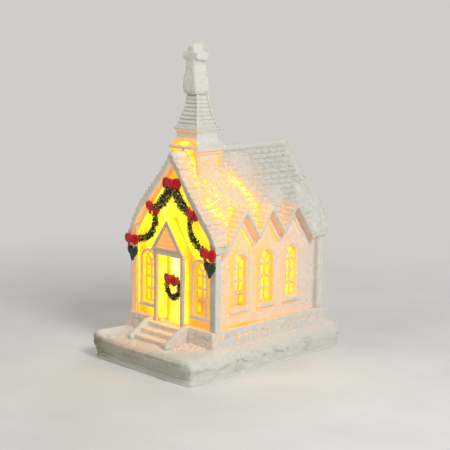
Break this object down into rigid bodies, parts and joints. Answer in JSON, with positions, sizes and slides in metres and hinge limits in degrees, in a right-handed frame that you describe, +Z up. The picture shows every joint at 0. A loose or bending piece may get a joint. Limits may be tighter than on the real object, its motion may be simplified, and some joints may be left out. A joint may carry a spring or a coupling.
{
  "type": "lit village church",
  "caption": "Resin Christmas village church with a snowy dormered roof, bell tower and cross, traceried windows, and a battery light unit in the base that lights it from inside.",
  "frame": {"origin": "middle of the plinth's underside, on the surface that it stands on", "axes": "+Z up, -Y towards the door side, +X towards the side wall seen on the right of the picture"},
  "size_m": [0.06, 0.089, 0.125],
  "materials": {
    "white_resin": "painted polyresin casting, matt with glitter, lit from inside",
    "stone_resin": "painted polyresin casting, rough rock and snow",
    "amber_film": "amber translucent film, lit from behind",
    "green_paint": "dark green paint with gold flecks on cast relief",
    "red_paint": "gloss red paint on cast relief",
    "white_plastic": "satin moulded plastic",
    "led_epoxy": "clear moulded epoxy, lit",
    "plated_steel": "nickel-plated steel",
    "cell_steel": "plain button cell can",
    "brass": "stamped brass sheet",
    "black_plastic": "satin moulded plastic"
  },
  "bodies": {
    "church": {"plinth": "stone_resin", "foundation": "stone_resin", "nave_walls": "white_resin", "nave_roof": "white_resin", "front_door": "white_resin", "entrance_steps": "stone_resin", "porch_gable": "white_resin", "porch_post_left": "white_resin", "porch_post_right": "white_resin", "bell_tower": "white_resin", "spire": "white_resin", "spire_cross": "white_resin", "window_pane_right_1": "amber_film", "window_pane_right_2": "amber_film", "window_pane_right_3": "amber_film", "window_pane_left_1": "amber_film", "window_pane_left_2": "amber_film", "window_pane_left_3": "amber_film", "window_pane_front_left": "amber_film", "window_pane_front_right": "amber_film", "window_pane_rear_left": "amber_film", "window_pane_rear_right": "amber_film", "garland_upper_left": "green_paint", "garland_upper_right": "green_paint", "garland_lower_left": "green_paint", "garland_lower_right": "green_paint", "leaves_left": "green_paint", "leaves_right": "green_paint", "door_wreath": "green_paint", "bow_middle_left": "red_paint", "bow_middle_right": "red_paint", "bow_low_left": "red_paint", "bow_low_right": "red_paint", "bow_top": "red_paint", "wreath_bow": "red_paint", "light_housing": "white_plastic", "light_lid": "white_plastic", "led": "led_epoxy", "led_lead_plus": "plated_steel", "led_lead_minus": "plated_steel", "positive_contact": "brass", "negative_spring": "plated_steel", "switch_terminal": "brass", "button_cell_1": "cell_steel", "button_cell_2": "cell_steel", "button_cell_3": "cell_steel"},
    "switch": {"switch_slider": "black_plastic", "switch_bridge": "brass"},
    "battery_door": {"battery_door": "white_plastic", "door_screw": "plated_steel"}
  },
  "joints": [
    {"name": "battery_door_hinge", "type": "hinge", "parent": "church", "child": "battery_door", "pos_m": [-0.0123, 0.01725, 0.0004], "axis": [0, 1, 0], "range_deg": [0, 35]},
    {"name": "power_switch", "type": "slide", "parent": "church", "child": "switch", "axis": [-1, 0, 0], "range_m": [0, 0.0026]}
  ]
}
